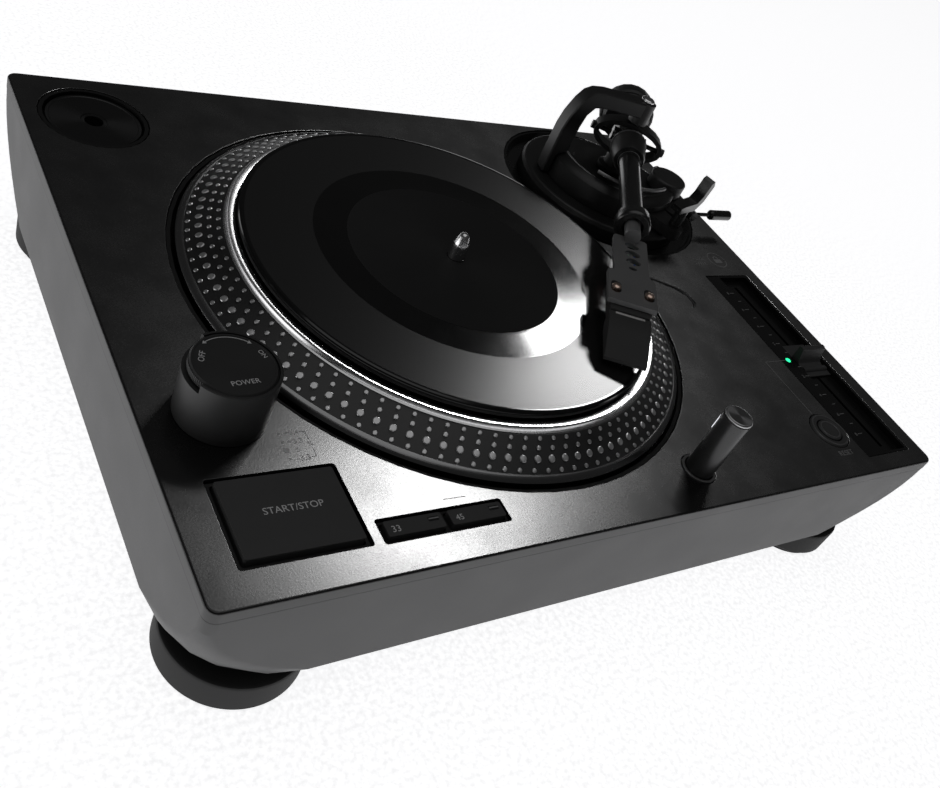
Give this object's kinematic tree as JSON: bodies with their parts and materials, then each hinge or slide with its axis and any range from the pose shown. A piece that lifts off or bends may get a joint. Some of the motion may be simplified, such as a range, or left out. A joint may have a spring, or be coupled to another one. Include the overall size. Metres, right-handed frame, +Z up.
{
  "type": "turntable record player",
  "caption": "Compact black direct-drive turntable for seven-inch records, with straight tonearm, pitch fader, start and speed keys and a pop-up needle lamp.",
  "frame": {"origin": "under the middle of the deck, on the plane of the feet's undersides", "axes": "+Z up, +Y towards the back where the sockets are, +X towards the tonearm side"},
  "size_m": [0.3464, 0.2642, 0.1222],
  "materials": {
    "black_iron": "satin black paint",
    "black_metal": "black anodised",
    "black_paint": "fine textured black powder coat",
    "board": "green solder mask",
    "body_paint": "satin dark grey powder coat",
    "copper": "wound copper on laminated iron",
    "dark_plastic": "satin black",
    "green": "translucent green",
    "grey_plastic": "satin dark grey",
    "rubber": "matte",
    "satin": "satin",
    "silver": "bright",
    "vinyl": "glossy",
    "white": "glossy white"
  },
  "bodies": {
    "base": {"deck_plate": "black_paint", "plinth_shell": "body_paint", "service_cover": "body_paint", "foot_front_left": "body_paint", "foot_back_left": "body_paint", "foot_front_right": "body_paint", "foot_back_right": "body_paint", "line_jacks": "silver", "power_socket": "dark_plastic", "motor_pan": "black_iron", "spindle_bearing": "satin", "motor_stator": "copper", "adapter_cup": "dark_plastic", "strobe_housing": "body_paint", "strobe_lens": "white", "start_stop_frame": "dark_plastic", "speed_button_frame": "dark_plastic", "reset_ring": "dark_plastic", "target_lamp_sleeve": "dark_plastic", "fader_panel": "dark_plastic", "pitch_lamp": "green", "fader_track": "black_iron", "control_board": "board", "power_supply": "dark_plastic", "arm_base_dish": "black_metal"},
    "platter": {"platter": "satin", "slip_mat": "rubber", "record": "vinyl", "spindle": "silver", "rotor_magnet": "black_iron"},
    "power_knob": {"power_knob": "grey_plastic"},
    "start_stop_button": {"start_stop_button": "grey_plastic"},
    "speed_button_33": {"speed_button_33": "grey_plastic"},
    "speed_button_45": {"speed_button_45": "grey_plastic"},
    "reset_button": {"reset_button": "grey_plastic"},
    "pitch_fader": {"fader_cap": "grey_plastic"},
    "target_lamp": {"target_lamp": "satin"},
    "single_adapter": {"single_adapter": "black_metal"},
    "height_ring": {"height_ring": "black_metal"},
    "arm_base": {"arm_base": "black_metal", "arm_arch": "black_metal", "pivot_bolt": "silver", "cue_barrel": "satin", "arm_rest": "dark_plastic"},
    "anti_skating_dial": {"anti_skating_dial": "black_metal"},
    "cue_lever": {"cue_lever": "dark_plastic"},
    "lift_bow": {"lift_bow": "black_iron"},
    "arm_yoke": {"arm_yoke": "black_metal"},
    "tonearm": {"arm_tube": "black_metal", "headshell": "satin", "finger_lift": "black_iron", "cartridge_screw_left": "silver", "cartridge_screw_right": "silver", "cartridge": "dark_plastic", "stylus": "white"},
    "headshell_collar": {"headshell_collar": "black_metal"},
    "counterweight": {"counterweight": "black_iron"},
    "stylus_force_ring": {"stylus_force_ring": "black_iron"}
  },
  "joints": [
    {"name": "platter_spin", "type": "hinge", "parent": "base", "child": "platter", "pos_m": [-0.0316, -0.0024, 0.067], "axis": [0, 0, 1], "continuous": true},
    {"name": "power_turn", "type": "hinge", "parent": "base", "child": "power_knob", "pos_m": [-0.1471, -0.0619, 0.067], "axis": [0, 0, 1], "range_deg": [0, 70]},
    {"name": "start_stop_press", "type": "slide", "parent": "base", "child": "start_stop_button", "axis": [0, 0, -1], "range_m": [0, 0.0012], "stiffness_N_per_m": 300, "springref_m": -0.001},
    {"name": "speed_press_33", "type": "slide", "parent": "base", "child": "speed_button_33", "axis": [0, 0, -1], "range_m": [0, 0.0012], "stiffness_N_per_m": 300, "springref_m": -0.001},
    {"name": "speed_press_45", "type": "slide", "parent": "base", "child": "speed_button_45", "axis": [0, 0, -1], "range_m": [0, 0.0012], "stiffness_N_per_m": 300, "springref_m": -0.001},
    {"name": "reset_press", "type": "slide", "parent": "base", "child": "reset_button", "axis": [0, 0, -1], "range_m": [0, 0.001], "stiffness_N_per_m": 300, "springref_m": -0.001},
    {"name": "pitch_slide", "type": "slide", "parent": "base", "child": "pitch_fader", "axis": [0, 1, 0], "range_m": [-0.047, 0.047]},
    {"name": "target_lamp_rise", "type": "slide", "parent": "base", "child": "target_lamp", "axis": [0, 0, 1], "range_m": [-0.027, 0]},
    {"name": "adapter_lift", "type": "slide", "parent": "base", "child": "single_adapter", "axis": [0, 0, 1], "range_m": [0, 0.02]},
    {"name": "arm_height_slide", "type": "slide", "parent": "base", "child": "arm_base", "axis": [0, 0, 1], "range_m": [0, 0.006]},
    {"name": "height_ring_turn", "type": "hinge", "parent": "base", "child": "height_ring", "pos_m": [0.1104, 0.0731, 0.067], "axis": [0, 0, 1], "range_deg": [0, 120]},
    {"name": "anti_skating_turn", "type": "hinge", "parent": "arm_base", "child": "anti_skating_dial", "pos_m": [0.13837, 0.0586, 0.0836], "axis": [0, 0, 1], "range_deg": [0, 270]},
    {"name": "cue_lever_turn", "type": "hinge", "parent": "arm_base", "child": "cue_lever", "pos_m": [0.14125, 0.03633, 0.0795], "axis": [0, -1, 0], "range_deg": [0, 50]},
    {"name": "lift_bow_rise", "type": "slide", "parent": "arm_base", "child": "lift_bow", "axis": [0, 0, 1], "range_m": [0, 0.0035]},
    {"name": "arm_swing", "type": "hinge", "parent": "arm_base", "child": "arm_yoke", "pos_m": [0.1104, 0.0731, 0.0988], "axis": [0, 0, 1], "range_deg": [-12, 50.5]},
    {"name": "arm_tilt", "type": "hinge", "parent": "arm_yoke", "child": "tonearm", "pos_m": [0.1104, 0.0731, 0.0988], "axis": [-0.8141, 0.5807, 0], "range_deg": [0, 10]},
    {"name": "collar_turn", "type": "hinge", "parent": "tonearm", "child": "headshell_collar", "pos_m": [0.1104, 0.0731, 0.0988], "axis": [-0.5807, -0.8141, 0], "range_deg": [0, 45]},
    {"name": "counterweight_slide", "type": "slide", "parent": "tonearm", "child": "counterweight", "axis": [0.5807, 0.8141, 0], "range_m": [0, 0.004]},
    {"name": "force_ring_turn", "type": "hinge", "parent": "counterweight", "child": "stylus_force_ring", "pos_m": [0.1104, 0.0731, 0.0988], "axis": [-0.5807, -0.8141, 0], "range_deg": [0, 360]}
  ],
  "couplings": [
    {"joint": "height_ring_turn", "follows": "arm_height_slide", "rad_per_m": 348.57},
    {"joint": "cue_lever_turn", "follows": "lift_bow_rise", "rad_per_m": 249},
    {"joint": "force_ring_turn", "follows": "counterweight_slide", "rad_per_m": 1569.8}
  ]
}
